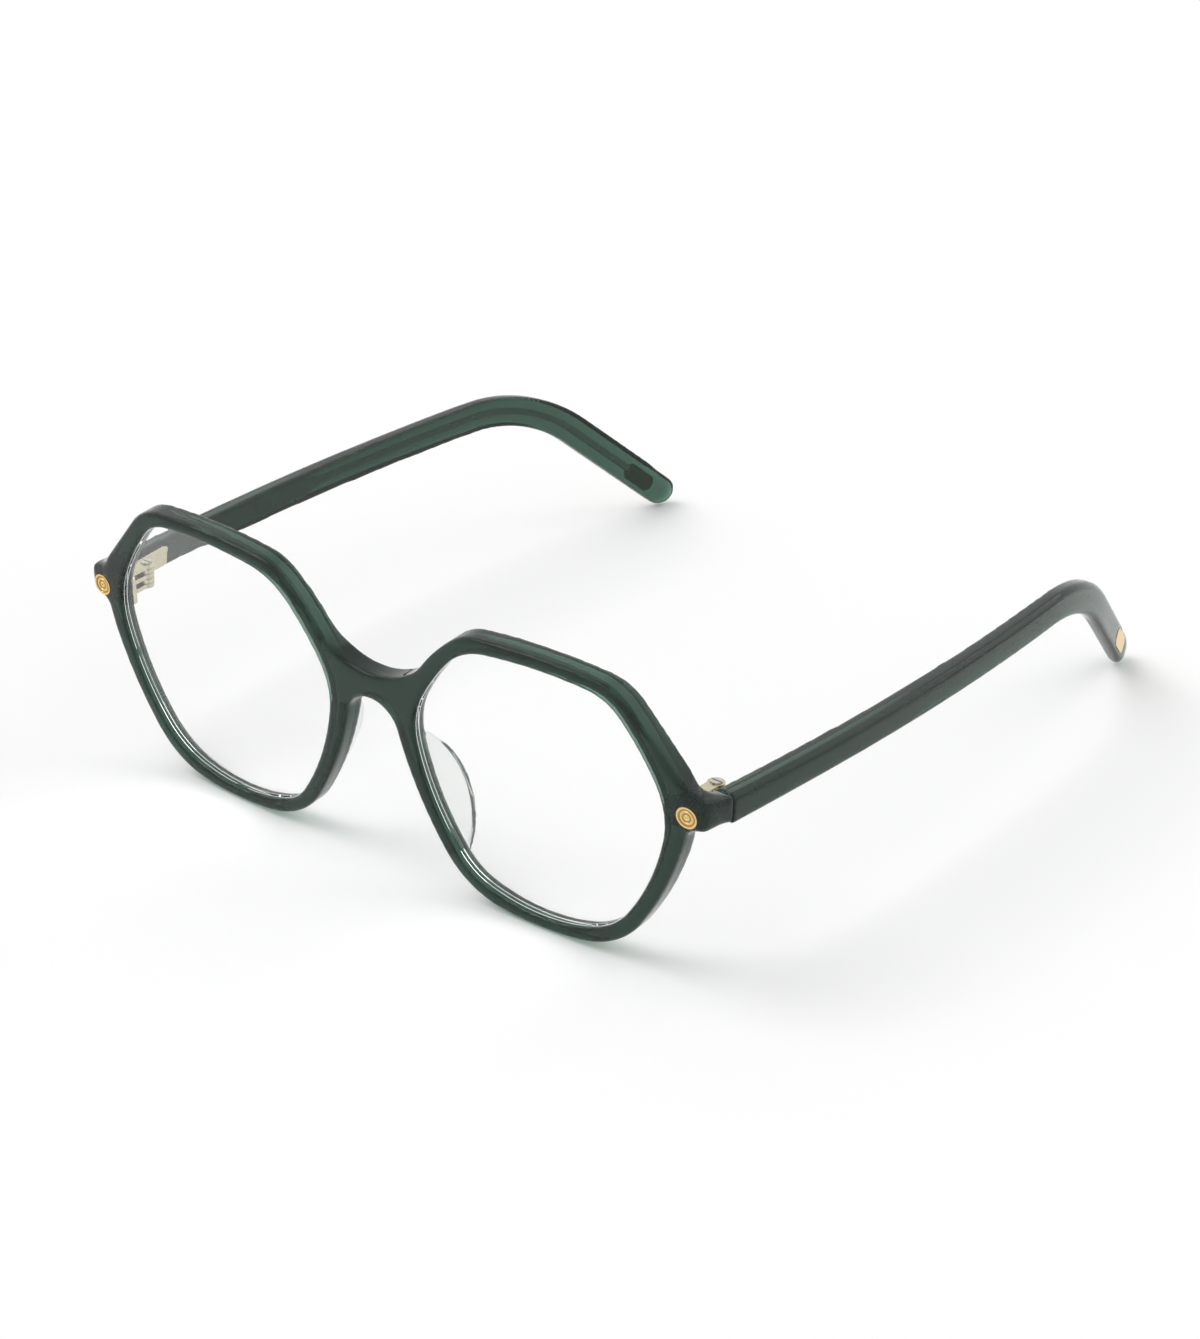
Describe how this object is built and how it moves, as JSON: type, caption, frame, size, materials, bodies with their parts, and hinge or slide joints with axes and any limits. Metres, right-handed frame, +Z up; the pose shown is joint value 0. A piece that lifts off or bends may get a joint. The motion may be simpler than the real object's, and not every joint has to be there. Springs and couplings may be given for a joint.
{
  "type": "eyeglasses",
  "caption": "Folding eyeglasses with soft hexagonal translucent acetate rims, clear lenses, crescent nose pads and wire-cored temples on barrel hinges",
  "frame": {"origin": "middle of the bounding box, on the surface that the open glasses stand on", "axes": "+X to the wearer's left, +Y from the front towards the temple tips, +Z up; the lenses face -Y"},
  "size_m": [0.1354, 0.1518, 0.0515],
  "materials": {
    "acetate": "polished translucent grey-green acetate",
    "lens_clear": "clear, coated",
    "pad_clear": "clear, polished",
    "gold_metal": "pale gold, polished",
    "hinge_metal": "nickel silver, satin",
    "screw_metal": "bright steel",
    "core_metal": "satin nickel silver"
  },
  "bodies": {
    "front": {"front_frame": "acetate", "lens_left": "lens_clear", "lens_right": "lens_clear", "nose_pad_left": "pad_clear", "nose_pad_right": "pad_clear", "rivet_left": "gold_metal", "rivet_right": "gold_metal", "hinge_front_left": "hinge_metal", "hinge_front_right": "hinge_metal", "hinge_screw_left": "screw_metal", "hinge_screw_right": "screw_metal"},
    "temple_left": {"temple_left": "acetate", "core_wire_left": "core_metal", "tip_plate_left": "gold_metal", "hinge_temple_left": "hinge_metal"},
    "temple_right": {"temple_right": "acetate", "core_wire_right": "core_metal", "tip_plate_right": "gold_metal", "hinge_temple_right": "hinge_metal"}
  },
  "joints": [
    {"name": "fold_left", "type": "hinge", "parent": "front", "child": "temple_left", "pos_m": [0.0604, -0.06209, 0.03101], "axis": [0, 0.011, 0.9999], "range_deg": [0, 89.5]},
    {"name": "fold_right", "type": "hinge", "parent": "front", "child": "temple_right", "pos_m": [-0.0604, -0.06209, 0.03101], "axis": [0, -0.011, -0.9999], "range_deg": [0, 82]}
  ]
}
